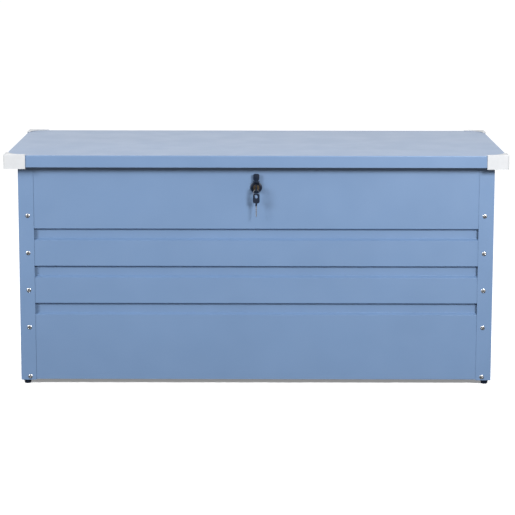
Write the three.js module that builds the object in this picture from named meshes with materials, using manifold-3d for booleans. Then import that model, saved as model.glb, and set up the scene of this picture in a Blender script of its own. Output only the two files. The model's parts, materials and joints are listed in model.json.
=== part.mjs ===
// Deck storage box: a folded steel body on four corner posts, a steel lid with plastic corner caps
// that is held by two hinges and two gas struts, and a cam lock with its keys.
// Frame: millimetres, +Z up, the front faces -Y, origin on the ground under the middle of the box.

import * as THREE from 'three';
import { mergeVertices } from 'three/addons/utils/BufferGeometryUtils.js';
import Module from 'manifold-3d';

// ---------------------------------------------------------------- driving dimensions

const WIDTH = 1320; // over the corner caps, along X
const DEPTH = 620; // over the corner caps, along Y
const HEIGHT = 620; // ground to the top of the corner caps
const GAP = 0.3; // between two pieces that touch

const CAP = { wall: 2.2, leg: 57, tip: 9, below: 4, corner: 4 };
const LID = { sheet: 0.8, lip: 31.5, hem: 2, hemHeight: 6, side: 31, front: 31.5, rear: 15.5 };
const RIM_DROP = 13.5; // top face of the lid down to the rim of the body
const FOOT = { height: 11, top: 10.75, bottom: 8, inset: 15.5 };
const POST = { leg: 40, sheet: 1.2, tab: 38 };
const PANEL = { sheet: 0.8, flange: 12, base: 12, lift: 2, clear: 0.5 };
const GROOVE = { count: 3, pitch: 100, drop: 200, opening: 32, floor: 22, depth: 10 };
const FLOOR = { sheet: 0.8, inset: 6, edge: 12 };
const SCREW = { head: 5.75, dome: 2.4, shank: 2, hole: 2.5, length: 7, inset: 24, lift: 9 };
const BUFFER = { radius: 5.5, inset: 200 };
const STIFFENER = { brim: 25, mouth: 15, crown: 10, depth: 9, sheet: 0.8, inset: 357.5, end: 34 };

const HINGE = {
  inset: 257.5, half: 45, middle: 15, knuckle: 4, pin: 2, leaf: 1.4, drop: 45, rise: 26,
  set: 0.2, // leaf outside the knuckle
  clear: 0.5, // lid leaf above the knuckle
};
const HINGE_HEAD = { radius: 3.6, length: 1.5 };

// The two balls of a strut are equally far from the hinge, so the strut turns half as fast as the lid.
const STRUT = {
  reach: 230, // hinge to either ball
  angle: THREE.MathUtils.degToRad(75), // between the two balls with the lid shut
  droop: THREE.MathUtils.degToRad(1.25), // lid ball below the hinge with the lid shut
  tube: 9, bore: 7.6, tubeStart: 18, tubeEnd: 223, guide: 10, endWall: 6,
  rod: 4, piston: 7.2, pistonLength: 10, rodLength: 248,
  eye: 7, eyeHalf: 4, neck: 4, collar: 6, collarLength: 14,
  stud: 3, studReach: 3, wall: 7.2, plate: 2, plateHalf: 15, seat: 9, foot: [13, 21],
};

const LOCK = {
  drop: 74, // rim down to the lock's axis
  rosette: 15.5, rosetteThick: 5, barrel: 9.5, barrelEnd: 29, plug: 8, bolt: 6.5, boltHead: 4,
  nutFlats: 24, nutThick: 5, stud: 5, boltShank: 1.6, boltReach: 2, recess: 3.4, recessDepth: 4.2,
};
const CAM = { thick: 3, half: 6, hub: 9, arm: 38 };
const KEEPER = { near: 15, far: 40, sheet: 2, play: 2, behind: 4, hook: 4, flange: 16 };
const FLAP = {
  height: 15, out: 3.4, pin: 1, knuckle: 2.6, half: 8, neck: 5.8, plate: 2, start: 4.8, end: 22, round: 4,
};
const EAR = { thick: 2.2, low: 9, high: 18, front: 3, root: 3 };
const KEY = {
  half: 9, past: 8, head: 25.5, hole: 4.5, thick: 1.6, corner: 4,
  neckHalf: 2.2, neck: 6.5, collar: 0.9, bladeHalf: 1.7, bladeThick: 1, blade: 28,
  tangHalf: 1.2, tangThick: 0.7, tang: 14,
};
const RING = { radius: 8.5, wire: 0.8, yaw: THREE.MathUtils.degToRad(20), play: 0.2 };
const SPARE = { yaw: THREE.MathUtils.degToRad(-22), hang: 1 };

// ---------------------------------------------------------------- worked-out positions

const capSkin = CAP.wall + GAP;
const lid = {
  x: WIDTH / 2 - capSkin,
  y: DEPTH / 2 - capSkin,
  top: HEIGHT - capSkin,
  under: HEIGHT - capSkin - LID.sheet,
  bottom: HEIGHT - capSkin - LID.lip,
};
const body = {
  x: lid.x - LID.side,
  front: -(lid.y - LID.front),
  rear: lid.y - LID.rear,
  bottom: FOOT.height,
  rim: lid.top - RIM_DROP,
};
const postSkin = POST.sheet + GAP;
const face = {
  x: body.x - postSkin,
  front: body.front + postSkin,
  rear: body.rear - postSkin,
  bottom: body.bottom + PANEL.lift,
};
const grooves = Array.from({ length: GROOVE.count }, (_, i) => (
  body.rim - GROOVE.drop - (GROOVE.count - 1 - i) * GROOVE.pitch
));
const screws = [
  body.bottom + SCREW.lift,
  ...grooves.map((z) => z - GROOVE.pitch / 2),
  body.rim - GROOVE.drop + GROOVE.pitch / 2,
];
const screwX = body.x - SCREW.inset;

const lipInside = lid.y - LID.hem;
const hinge = {
  x: lid.x - HINGE.inset,
  y: lipInside - GAP - HINGE.knuckle - HINGE.set,
  z: lid.bottom,
};
const lidBall = {
  y: hinge.y - STRUT.reach * Math.cos(STRUT.droop),
  z: hinge.z - STRUT.reach * Math.sin(STRUT.droop),
};
const bodyBall = {
  y: hinge.y - STRUT.reach * Math.cos(STRUT.droop + STRUT.angle),
  z: hinge.z - STRUT.reach * Math.sin(STRUT.droop + STRUT.angle),
};
const strutX = face.x - GROOVE.depth - PANEL.sheet - STRUT.wall - STRUT.tube;
const strutLean = Math.atan2(bodyBall.y - lidBall.y, lidBall.z - bodyBall.z);
const plateX = strutX + STRUT.eyeHalf + STRUT.studReach + STRUT.plate;

const lockZ = body.rim - LOCK.drop;
const plugFace = -(GAP + LOCK.rosetteThick + GAP);
const camY = LOCK.barrelEnd + GAP;
const boltY = camY + CAM.thick + 2 * GAP;
const neckEnd = plugFace + LOCK.recessDepth - 2 * GAP - KEY.collar;
const keyY = neckEnd - KEY.neck - KEY.head + KEY.past;
const webHeight = KEY.half - KEY.hole;
const webReach = Math.hypot(KEY.thick / Math.cos(RING.yaw), webHeight / 2);
const web = -(KEY.hole + webHeight / 2);
const ringZ = web - (RING.radius - RING.wire - RING.play - webReach);

// ---------------------------------------------------------------- shapes

const wasm = await Module();
wasm.setup();

const X = new THREE.Vector3(1, 0, 0);
const Y = new THREE.Vector3(0, 1, 0);
const Z = new THREE.Vector3(0, 0, 1);
const FROM_YZ = new THREE.Matrix4().makeBasis(Y, Z, X); // drawn in (y, z), runs along +X
const FROM_XZ = new THREE.Matrix4().makeBasis(X, Z, Y.clone().negate()); // in (x, z), along -Y

function solid(geometry) {
  const bare = geometry.clone();
  bare.deleteAttribute('normal');
  bare.deleteAttribute('uv');
  const merged = mergeVertices(bare, 1e-4);
  return new wasm.Manifold(new wasm.Mesh({
    numProp: 3,
    vertProperties: merged.attributes.position.array,
    triVerts: Uint32Array.from(merged.index.array),
  }));
}

function geometryOf(manifold) {
  const mesh = manifold.getMesh();
  const geometry = new THREE.BufferGeometry();
  geometry.setAttribute('position', new THREE.BufferAttribute(mesh.vertProperties, 3));
  geometry.setIndex(new THREE.BufferAttribute(mesh.triVerts, 1));
  geometry.computeVertexNormals();
  return geometry;
}

function join(...pieces) {
  return geometryOf(pieces.map(solid).reduce((whole, piece) => whole.add(piece)));
}

function cut(piece, ...tools) {
  return geometryOf(tools.map(solid).reduce((rest, tool) => rest.subtract(tool), solid(piece)));
}

function block([x0, x1], [y0, y1], [z0, z1]) {
  return new THREE.BoxGeometry(x1 - x0, y1 - y0, z1 - z0)
    .translate((x0 + x1) / 2, (y0 + y1) / 2, (z0 + z1) / 2);
}

// A round bar along one axis; `at` is its place in the other two coordinates, in X, Y, Z order.
function bar(axis, radius, from, to, at = [0, 0], sides = 24) {
  const geometry = new THREE.CylinderGeometry(radius, radius, to - from, sides);
  geometry.translate(0, (from + to) / 2, 0);
  if (axis === 'x') geometry.rotateZ(-Math.PI / 2).translate(0, at[0], at[1]);
  if (axis === 'y') geometry.translate(at[0], 0, at[1]);
  if (axis === 'z') geometry.rotateX(Math.PI / 2).translate(at[0], at[1], 0);
  return geometry;
}

// A turned piece along +Z from [radius, height] points that start and end on the axis.
function turned(points, sides = 24) {
  const profile = points.map(([radius, height]) => new THREE.Vector2(radius, height));
  return new THREE.LatheGeometry(profile, sides).rotateX(Math.PI / 2);
}

// The outline of a folded sheet: `line` is one face, and the metal lies to the right of it.
function sheet(line, thick) {
  const points = line.map(([u, v]) => new THREE.Vector2(u, v));
  const normals = points.slice(1).map((point, i) => {
    const along = point.clone().sub(points[i]).normalize();
    return new THREE.Vector2(along.y, -along.x);
  });
  const back = points.map((point, i) => {
    const before = normals[Math.max(i - 1, 0)];
    const after = normals[Math.min(i, normals.length - 1)];
    return before.clone().add(after).multiplyScalar(thick / (1 + before.dot(after))).add(point);
  });
  return new THREE.Shape([...points, ...back.reverse()]);
}

function extrude(shape, length) {
  return new THREE.ExtrudeGeometry(shape, { depth: length, bevelEnabled: false, curveSegments: 12 });
}

// ---------------------------------------------------------------- finishes and nodes

const FINISH = {
  bodyPaint: { color: 0x8aa3c9, roughness: 0.5, metalness: 0.3 },
  lidPaint: { color: 0x93a9cc, roughness: 0.45, metalness: 0.3 },
  floorSheet: { color: 0xa9afb6, roughness: 0.4, metalness: 0.9 },
  capPlastic: { color: 0xe9eaec, roughness: 0.5, metalness: 0 },
  footPlastic: { color: 0x1b1e24, roughness: 0.6, metalness: 0 },
  blackPlastic: { color: 0x14171d, roughness: 0.45, metalness: 0 },
  rubber: { color: 0x202226, roughness: 0.8, metalness: 0 },
  steel: { color: 0xc4c7cb, roughness: 0.3, metalness: 1 },
  brass: { color: 0xb59a6a, roughness: 0.35, metalness: 1 },
  strutBlack: { color: 0x15171b, roughness: 0.35, metalness: 0.4 },
};

function node(parent, name, geometry, finish) {
  const mesh = new THREE.Mesh(geometry, new THREE.MeshStandardMaterial(finish));
  mesh.name = name;
  parent.add(mesh);
  return mesh;
}

function group(parent, x = 0, y = 0, z = 0) {
  const made = new THREE.Group();
  made.position.set(x, y, z);
  parent.add(made);
  return made;
}

const SIDES = [['left', -1], ['right', 1]];
const CORNERS = [
  ['rear_right', 1, 1, 0],
  ['rear_left', -1, 1, Math.PI / 2],
  ['front_left', -1, -1, Math.PI],
  ['front_right', 1, -1, -Math.PI / 2],
];

// ---------------------------------------------------------------- body

// One wall, outer face at y = 0 and the box behind it at +Y, with a flange along the top and the base.
function wall(length) {
  const half = GROOVE.opening / 2;
  const flat = GROOVE.floor / 2;
  const line = [
    [PANEL.base, face.bottom],
    [0, face.bottom],
    ...grooves.flatMap((z) => [
      [0, z - half], [GROOVE.depth, z - flat], [GROOVE.depth, z + flat], [0, z + half],
    ]),
    [0, body.rim],
    [PANEL.flange, body.rim],
  ];
  return extrude(sheet(line, PANEL.sheet), length).applyMatrix4(FROM_YZ).translate(-length / 2, 0, 0);
}

function frontWall(length) {
  const holes = SIDES.flatMap(([, side]) => screws.map((z) => (
    bar('y', SCREW.hole, -1, 3, [side * screwX, z], 16)
  )));
  return cut(wall(length), bar('y', LOCK.barrel + GAP, -1, 3, [0, lockZ]), ...holes);
}

function walls(box) {
  const across = 2 * face.x;
  const corner = Math.max(PANEL.flange, PANEL.base, GROOVE.depth + PANEL.sheet) + PANEL.clear;
  const deep = face.rear - face.front - 2 * corner;
  const middle = (face.front + face.rear) / 2;
  node(box, 'front_panel', frontWall(across), FINISH.bodyPaint).position.y = face.front;
  const rear = node(box, 'rear_panel', wall(across), FINISH.bodyPaint);
  rear.position.y = face.rear;
  rear.rotation.z = Math.PI;
  for (const [name, side] of SIDES) {
    const panel = node(box, `${name}_panel`, wall(deep), FINISH.bodyPaint);
    panel.position.set(side * face.x, middle, 0);
    panel.rotation.z = side * Math.PI / 2;
  }
}

function floorPanel(box) {
  const inset = PANEL.sheet + FLOOR.inset;
  const x = face.x - inset;
  const [y0, y1] = [face.front + inset, face.rear - inset];
  const z = face.bottom + PANEL.sheet + GAP;
  const tray = cut(
    block([-x, x], [y0, y1], [z, z + FLOOR.edge]),
    block(
      [-x + FLOOR.sheet, x - FLOOR.sheet],
      [y0 + FLOOR.sheet, y1 - FLOOR.sheet],
      [z + FLOOR.sheet, z + FLOOR.edge + 1],
    ),
  );
  node(box, 'floor_panel', tray, FINISH.floorSheet);
}

// An angle section with its outer corner on the axis, closed at the foot by a folded tab.
function post(sideX, turn, isFront) {
  const { leg, sheet: thick, tab } = POST;
  const plan = new THREE.Shape([
    [0, 0], [-leg, 0], [-leg, -thick], [-thick, -thick], [-thick, -leg], [0, -leg],
  ].map(([x, y]) => new THREE.Vector2(x, y)));
  const angle = extrude(plan, body.rim - body.bottom);
  const tabPlate = block([-tab, -thick / 2], [-tab, -thick / 2], [0, thick]);
  const geometry = join(angle, tabPlate).rotateZ(turn);
  if (!isFront) return geometry;
  return cut(geometry, ...screws.map((z) => (
    bar('y', SCREW.hole, -1, 2 * thick, [-sideX * SCREW.inset, z - body.bottom], 16)
  )));
}

function posts(box) {
  for (const [name, sideX, sideY, turn] of CORNERS) {
    const y = sideY > 0 ? body.rear : body.front;
    const isFront = sideY < 0;
    node(box, `post_${name}`, post(sideX, turn, isFront), FINISH.bodyPaint)
      .position.set(sideX * body.x, y, body.bottom);
    const foot = new THREE.CylinderGeometry(FOOT.top, FOOT.bottom, FOOT.height - GAP, 24)
      .rotateX(Math.PI / 2);
    node(box, `foot_${name}`, foot, FINISH.footPlastic).position.set(
      sideX * (body.x - FOOT.inset),
      y - sideY * FOOT.inset,
      (FOOT.height - GAP) / 2,
    );
  }
}

function screwGeometry() {
  const { head, dome, shank, length } = SCREW;
  const profile = [
    [0, -length], [shank, -length], [shank, 0], [head, 0], [head, 0.3 * dome],
    [0.72 * head, 0.8 * dome], [0.36 * head, dome], [0, dome],
  ];
  return turned(profile, 16).rotateX(Math.PI / 2);
}

function postScrews(box) {
  for (const [name, side] of SIDES) {
    screws.forEach((z, i) => {
      node(box, `post_screw_${name}_${i + 1}`, screwGeometry(), FINISH.steel)
        .position.set(side * screwX, body.front - GAP, z);
    });
  }
}

function buffers(box) {
  const height = lid.under - body.rim - 2 * GAP;
  for (const [name, side] of SIDES) {
    node(box, `lid_buffer_${name}`, bar('z', BUFFER.radius, 0, height), FINISH.rubber)
      .position.set(side * (body.x - BUFFER.inset), face.front + PANEL.flange / 2, body.rim + GAP);
  }
}

// ---------------------------------------------------------------- lid

function lidPanel(cover) {
  const { sheet: thick, hem, hemHeight } = LID;
  const shell = cut(
    block([-lid.x, lid.x], [-lid.y, lid.y], [lid.bottom, lid.top]),
    block([hem - lid.x, lid.x - hem], [hem - lid.y, lid.y - hem], [lid.bottom - 1, lid.under - 1]),
    block(
      [thick - lid.x, lid.x - thick],
      [thick - lid.y, lid.y - thick],
      [lid.bottom + hemHeight, lid.under],
    ),
  );
  node(cover, 'lid_panel', shell, FINISH.lidPaint);
}

// Two walls round the lid's corner under a flap whose inner edge is a hollow curve.
function capGeometry() {
  const { wall: thick, leg, tip, corner } = CAP;
  const height = lid.top + capSkin - lid.bottom + CAP.below;
  const angle = new THREE.Shape();
  angle.moveTo(-leg, 0);
  angle.lineTo(-leg, -thick);
  angle.lineTo(-thick, -thick);
  angle.lineTo(-thick, -leg);
  angle.lineTo(0, -leg);
  angle.absarc(-corner, -corner, corner, 0, Math.PI / 2);
  const flap = new THREE.Shape();
  flap.moveTo(-leg, 0);
  flap.lineTo(-leg, -tip);
  flap.absarc(-leg, -leg, leg - tip, Math.PI / 2, 0, true);
  flap.lineTo(0, -leg);
  flap.absarc(-corner, -corner, corner, 0, Math.PI / 2);
  return join(extrude(angle, height), extrude(flap, thick).translate(0, 0, height - thick));
}

function corners(cover) {
  for (const [name, sideX, sideY, turn] of CORNERS) {
    const cap = node(cover, `corner_cap_${name}`, capGeometry(), FINISH.capPlastic);
    cap.position.set(sideX * WIDTH / 2, sideY * DEPTH / 2, lid.bottom - CAP.below);
    cap.rotation.z = turn;
  }
}

function stiffeners(cover) {
  const { brim, mouth, crown, depth, sheet: thick, inset, end } = STIFFENER;
  const line = [[-brim, 0], [-mouth, 0], [-crown, -depth], [crown, -depth], [mouth, 0], [brim, 0]];
  const length = 2 * (lid.y - end);
  for (const [name, side] of SIDES) {
    const channel = extrude(sheet(line, thick), length).applyMatrix4(FROM_XZ);
    node(cover, `lid_stiffener_${name}`, channel, FINISH.lidPaint)
      .position.set(side * (lid.x - inset), length / 2, lid.under - GAP);
  }
}

// The bracket under the lid that the lock's cam turns over.
function keeper(cover) {
  const { near, far, sheet: thick, play, behind, hook, flange } = KEEPER;
  const back = face.front + boltY + LOCK.boltHead + behind + thick;
  const front = face.front + camY - hook;
  const low = lockZ - CAM.half - play - thick;
  const line = [
    [front, low], [back, low], [back, lid.under - GAP], [back + flange, lid.under - GAP],
  ];
  const bent = extrude(sheet(line.slice(0, 3), -thick), far - near);
  const top = block([0, far - near], [back - thick, back + flange], [-thick, 0])
    .translate(0, 0, lid.under - GAP);
  node(cover, 'lock_keeper', join(bent.applyMatrix4(FROM_YZ), top), FINISH.steel).position.x = near;
}

// ---------------------------------------------------------------- hinges

function hinges(box, cover) {
  const { half, middle, knuckle, pin, leaf, drop, rise, clear } = HINGE;
  const bore = bar('x', pin + GAP, -half - 1, half + 1, [0, 0], 16);
  const wallFace = face.rear + GAP - hinge.y;
  const outer = [[-half, -middle - GAP], [middle + GAP, half]];
  const fixed = cut(
    join(
      block([-half, half], [wallFace, wallFace + leaf], [-drop, leaf / 2]),
      ...outer.flatMap(([from, to]) => [
        bar('x', knuckle, from, to, [0, 0], 20),
        block([from, to], [wallFace, -pin], [-leaf / 2, leaf / 2]),
      ]),
    ),
    bore,
  );
  const outside = knuckle + HINGE.set;
  const moving = cut(
    join(
      block([-half, half], [outside - leaf, outside], [knuckle + clear, rise]),
      block([-middle, middle], [outside - leaf, outside], [0, rise]),
      bar('x', knuckle, -middle, middle, [0, 0], 20),
    ),
    bore,
  );
  const { radius, length } = HINGE_HEAD;
  const pinGeometry = join(
    bar('x', pin, -half - GAP - length / 2, half + GAP + length / 2, [0, 0], 16),
    bar('x', radius, -half - GAP - length, -half - GAP, [0, 0], 16),
    bar('x', radius, half + GAP, half + GAP + length, [0, 0], 16),
  );
  for (const [name, side] of SIDES) {
    const at = [side * hinge.x, hinge.y, hinge.z];
    node(box, `hinge_body_leaf_${name}`, fixed.clone(), FINISH.steel).position.set(...at);
    node(box, `hinge_pin_${name}`, pinGeometry.clone(), FINISH.steel).position.set(...at);
    node(cover, `hinge_lid_leaf_${name}`, moving.clone(), FINISH.steel).position.set(...at);
  }
}

// ---------------------------------------------------------------- gas struts

function eye() {
  return bar('x', STRUT.eye, -STRUT.eyeHalf, STRUT.eyeHalf, [0, 0], 20);
}

const eyeBore = () => bar('x', STRUT.stud + GAP, -STRUT.eye, STRUT.eye, [0, 0], 16);

function strutTube() {
  const { tube, bore, rod, tubeStart, tubeEnd, guide, endWall, neck } = STRUT;
  const barrel = turned([
    [0, tubeStart], [tube, tubeStart], [tube, tubeEnd], [rod + GAP, tubeEnd],
    [rod + GAP, tubeEnd - guide], [bore, tubeEnd - guide], [bore, tubeStart + endWall],
    [0, tubeStart + endWall],
  ]);
  return cut(join(barrel, bar('z', neck, 0, tubeStart + 1, [0, 0], 16), eye()), eyeBore());
}

function strutRod() {
  const { rod, piston, pistonLength, rodLength, collar, collarLength } = STRUT;
  const stem = turned([
    [0, -rodLength], [piston, -rodLength], [piston, pistonLength - rodLength],
    [rod, pistonLength - rodLength], [rod, -collarLength], [collar, -collarLength], [collar, 0], [0, 0],
  ]);
  return cut(join(stem, eye()), eyeBore());
}

function strutStud(side) {
  const tip = strutX - STRUT.eyeHalf - GAP;
  const root = plateX - STRUT.plate / 2;
  return side > 0 ? [tip, root] : [-root, -tip];
}

// A cranked plate from the side wall in to the stud.
function bodyBracket(side) {
  const { plate, plateHalf, seat, foot } = STRUT;
  const wallX = face.x - PANEL.sheet - GAP;
  const line = [[wallX, foot[1]], [wallX, foot[0]], [plateX, seat], [plateX, -seat]]
    .map(([x, z]) => [side * x, bodyBall.z + z]);
  const crank = extrude(sheet(line, side * plate), 2 * plateHalf)
    .applyMatrix4(FROM_XZ).translate(0, bodyBall.y + plateHalf, 0);
  return join(crank, bar('x', STRUT.stud, ...strutStud(side), [bodyBall.y, bodyBall.z], 16));
}

function lidBracket(side) {
  const { plate, plateHalf, seat } = STRUT;
  const line = [
    [plateX - 2 * plateHalf, lid.under - GAP],
    [plateX, lid.under - GAP],
    [plateX, lidBall.z - seat],
  ].map(([x, z]) => [side * x, z]);
  const angle = extrude(sheet(line, side * plate), 2 * plateHalf)
    .applyMatrix4(FROM_XZ).translate(0, lidBall.y + plateHalf, 0);
  return join(angle, bar('x', STRUT.stud, ...strutStud(side), [lidBall.y, lidBall.z], 16));
}

function struts(box, cover) {
  for (const [name, side] of SIDES) {
    node(box, `strut_body_bracket_${name}`, bodyBracket(side), FINISH.steel);
    node(cover, `strut_lid_bracket_${name}`, lidBracket(side), FINISH.steel);
    const tube = node(box, `strut_cylinder_${name}`, strutTube(), FINISH.strutBlack);
    tube.position.set(side * strutX, bodyBall.y, bodyBall.z);
    tube.rotation.x = strutLean;
    const rod = node(box, `strut_rod_${name}`, strutRod(), FINISH.steel);
    rod.position.set(side * strutX, lidBall.y, lidBall.z);
    rod.rotation.x = strutLean;
  }
}

// ---------------------------------------------------------------- lock and keys
// The lock's own frame: origin where its axis meets the wall's outer face, +Y into the box.

const flapY = -(GAP + LOCK.rosetteThick + FLAP.out);

function lockHousing() {
  const front = -GAP - LOCK.rosetteThick;
  const ears = [-1, 1].map((side) => {
    const inner = FLAP.neck + GAP;
    const span = [side * inner, side * (inner + EAR.thick)].sort((a, b) => a - b);
    return block(span, [flapY - EAR.front, front + EAR.root], [EAR.low, EAR.high]);
  });
  return cut(
    join(
      bar('y', LOCK.rosette, front, -GAP, [0, 0], 40),
      bar('y', LOCK.barrel, front, LOCK.barrelEnd, [0, 0], 32),
      ...ears,
    ),
    bar('y', LOCK.plug + GAP, front - 1, LOCK.barrelEnd + 1, [0, 0], 32),
    bar('x', FLAP.pin + GAP, -LOCK.rosette, LOCK.rosette, [flapY, FLAP.height], 12),
  );
}

function lockPlug() {
  return cut(
    join(
      bar('y', LOCK.plug, plugFace, LOCK.barrelEnd, [0, 0], 32),
      bar('y', LOCK.stud, LOCK.barrelEnd - 1, boltY - GAP, [0, 0], 20),
    ),
    bar('y', LOCK.recess, plugFace - 1, plugFace + LOCK.recessDepth, [0, 0], 20),
    block(
      [-KEY.bladeThick - GAP, KEY.bladeThick + GAP],
      [plugFace - 1, plugFace + LOCK.recessDepth + KEY.blade + GAP],
      [-KEY.bladeHalf - GAP, KEY.bladeHalf + GAP],
    ),
    bar('y', LOCK.boltShank + GAP, boltY - LOCK.boltReach - 0.5, boltY + 1, [0, 0], 12),
  );
}

function lockNut() {
  const across = LOCK.nutFlats / Math.sqrt(3);
  const inner = PANEL.sheet + GAP;
  return cut(
    bar('y', across, inner, inner + LOCK.nutThick, [0, 0], 6),
    bar('y', LOCK.barrel + GAP, 0, inner + LOCK.nutThick + 1, [0, 0], 32),
  );
}

// Points straight up when the lock is open; a quarter turn lays it over the keeper.
function lockCam() {
  const { half, hub, arm, thick } = CAM;
  const blade = block([-half, half], [camY, camY + thick], [0, arm]);
  const disc = bar('y', hub, camY, camY + thick);
  return cut(join(disc, blade), bar('y', LOCK.stud + GAP, camY - 1, camY + thick + 1, [0, 0], 20));
}

function camBolt() {
  return join(
    bar('y', LOCK.bolt, boltY, boltY + LOCK.boltHead, [0, 0], 6),
    bar('y', LOCK.boltShank, boltY - LOCK.boltReach, boltY + 1, [0, 0], 12),
  );
}

function lockFlap() {
  const { half, neck, start, end, round, plate, knuckle, pin } = FLAP;
  const shape = new THREE.Shape();
  shape.moveTo(-neck, 0);
  shape.lineTo(neck, 0);
  shape.lineTo(neck, start);
  shape.lineTo(half, start);
  shape.absarc(half - round, end - round, round, 0, Math.PI / 2);
  shape.absarc(round - half, end - round, round, Math.PI / 2, Math.PI);
  shape.lineTo(-half, start);
  shape.lineTo(-neck, start);
  const leaf = extrude(shape, plate).applyMatrix4(FROM_XZ).translate(0, plate / 2, 0);
  return cut(
    join(leaf, bar('x', knuckle, -neck, neck, [0, 0], 16)),
    bar('x', pin + GAP, -half, half, [0, 0], 12),
  );
}

// A key in its own frame: the hole on the Y axis, the head in the XZ plane, the blade down -Z.
function keyHead() {
  const { half, past, head, corner, hole, thick, neckHalf, neck, tangHalf, tangThick, tang } = KEY;
  const low = past - head;
  const shape = new THREE.Shape();
  shape.moveTo(-neckHalf, low - neck);
  shape.lineTo(neckHalf, low - neck);
  shape.lineTo(neckHalf, low);
  shape.absarc(half - corner, low + corner, corner, -Math.PI / 2, 0);
  shape.absarc(half - corner, past - corner, corner, 0, Math.PI / 2);
  shape.absarc(corner - half, past - corner, corner, Math.PI / 2, Math.PI);
  shape.absarc(corner - half, low + corner, corner, Math.PI, 1.5 * Math.PI);
  shape.lineTo(-neckHalf, low);
  const plate = extrude(shape, 2 * thick).applyMatrix4(FROM_XZ).translate(0, thick, 0);
  return cut(
    plate,
    bar('y', hole, -half, half),
    block(
      [-tangHalf - GAP, tangHalf + GAP],
      [-tangThick - GAP, tangThick + GAP],
      [low - neck - 1, low - neck + tang + GAP],
    ),
  );
}

function keyBlade() {
  const { past, head, neck, neckHalf, thick, collar, blade, bladeHalf, bladeThick, tang } = KEY;
  const { tangHalf, tangThick } = KEY;
  const top = past - head - neck - GAP;
  return join(
    block([-neckHalf, neckHalf], [-thick, thick], [top - collar, top]),
    block([-bladeHalf, bladeHalf], [-bladeThick, bladeThick], [top - collar - blade, top - collar / 2]),
    block([-tangHalf, tangHalf], [-tangThick, tangThick], [top - collar / 2, top + tang]),
  );
}

function lockAndKeys(box) {
  const lock = group(box, 0, face.front, lockZ);
  node(lock, 'lock_housing', lockHousing(), FINISH.blackPlastic);
  node(lock, 'lock_nut', lockNut(), FINISH.steel);
  node(lock, 'lock_plug', lockPlug(), FINISH.brass);
  node(lock, 'lock_cam', lockCam(), FINISH.steel);
  node(lock, 'cam_bolt', camBolt(), FINISH.steel);
  node(lock, 'lock_flap', lockFlap(), FINISH.blackPlastic).position.set(0, flapY, FLAP.height);
  const pinEnd = FLAP.neck + GAP + EAR.thick;
  node(lock, 'flap_pin', bar('x', FLAP.pin, -pinEnd, pinEnd, [0, 0], 12), FINISH.steel)
    .position.set(0, flapY, FLAP.height);

  const key = group(lock, 0, keyY, 0);
  key.quaternion.setFromRotationMatrix(
    new THREE.Matrix4().makeBasis(Z, X.clone().negate(), Y.clone().negate()),
  );
  node(key, 'key_head', keyHead(), FINISH.blackPlastic);
  node(key, 'key_blade', keyBlade(), FINISH.steel);

  const ring = new THREE.TorusGeometry(RING.radius, RING.wire, 10, 48).rotateX(Math.PI / 2);
  const loop = node(lock, 'key_ring', ring, FINISH.steel);
  loop.position.set(0, keyY, ringZ);
  loop.rotation.z = RING.yaw;

  const spare = group(lock, 0, keyY, ringZ - RING.radius - SPARE.hang);
  spare.rotation.z = SPARE.yaw;
  node(spare, 'spare_key_head', keyHead(), FINISH.blackPlastic);
  node(spare, 'spare_key_blade', keyBlade(), FINISH.steel);
}

// ---------------------------------------------------------------- assembly

const storageBox = new THREE.Group();
const box = group(storageBox);
const cover = group(storageBox);
walls(box);
floorPanel(box);
posts(box);
postScrews(box);
buffers(box);
lidPanel(cover);
corners(cover);
stiffeners(cover);
keeper(cover);
hinges(box, cover);
struts(box, cover);
lockAndKeys(box);

export default storageBox;
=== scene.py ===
"""Deck storage box: the finished surfaces, paint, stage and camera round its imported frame."""
import json
import math

import bmesh
import bpy
from bpy.props import FloatProperty, FloatVectorProperty, IntProperty, PointerProperty
from mathutils import Matrix, Vector


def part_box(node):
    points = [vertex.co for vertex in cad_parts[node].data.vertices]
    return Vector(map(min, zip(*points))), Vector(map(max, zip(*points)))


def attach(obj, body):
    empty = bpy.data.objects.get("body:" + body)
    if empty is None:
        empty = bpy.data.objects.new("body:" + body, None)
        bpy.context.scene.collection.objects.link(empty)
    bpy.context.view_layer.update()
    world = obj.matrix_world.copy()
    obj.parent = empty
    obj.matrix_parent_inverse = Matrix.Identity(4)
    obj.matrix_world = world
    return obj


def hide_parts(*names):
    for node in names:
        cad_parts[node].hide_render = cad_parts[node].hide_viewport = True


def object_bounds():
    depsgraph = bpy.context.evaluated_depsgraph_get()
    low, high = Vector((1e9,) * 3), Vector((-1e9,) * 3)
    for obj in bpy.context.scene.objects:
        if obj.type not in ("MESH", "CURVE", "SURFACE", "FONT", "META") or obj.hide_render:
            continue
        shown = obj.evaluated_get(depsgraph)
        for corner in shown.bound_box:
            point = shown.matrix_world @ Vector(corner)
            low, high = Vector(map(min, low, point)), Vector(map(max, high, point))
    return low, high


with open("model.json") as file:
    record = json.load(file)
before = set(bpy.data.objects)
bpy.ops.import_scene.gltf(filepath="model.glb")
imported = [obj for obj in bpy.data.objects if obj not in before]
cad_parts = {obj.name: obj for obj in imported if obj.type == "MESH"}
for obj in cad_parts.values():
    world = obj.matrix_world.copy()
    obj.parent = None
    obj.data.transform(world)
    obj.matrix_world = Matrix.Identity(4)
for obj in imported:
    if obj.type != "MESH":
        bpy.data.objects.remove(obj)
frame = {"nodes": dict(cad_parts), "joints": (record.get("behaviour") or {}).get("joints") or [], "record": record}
CAD_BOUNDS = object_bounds()

bl_info = {
    "name": "Deck Storage Box",
    "version": (1, 0, 0),
    "blender": (4, 5, 0),
    "location": "3D View > Sidebar > Storage Box",
    "description": "Finished sheet metal, caps, lock and struts for a steel deck storage box",
    "category": "Object",
}

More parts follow.
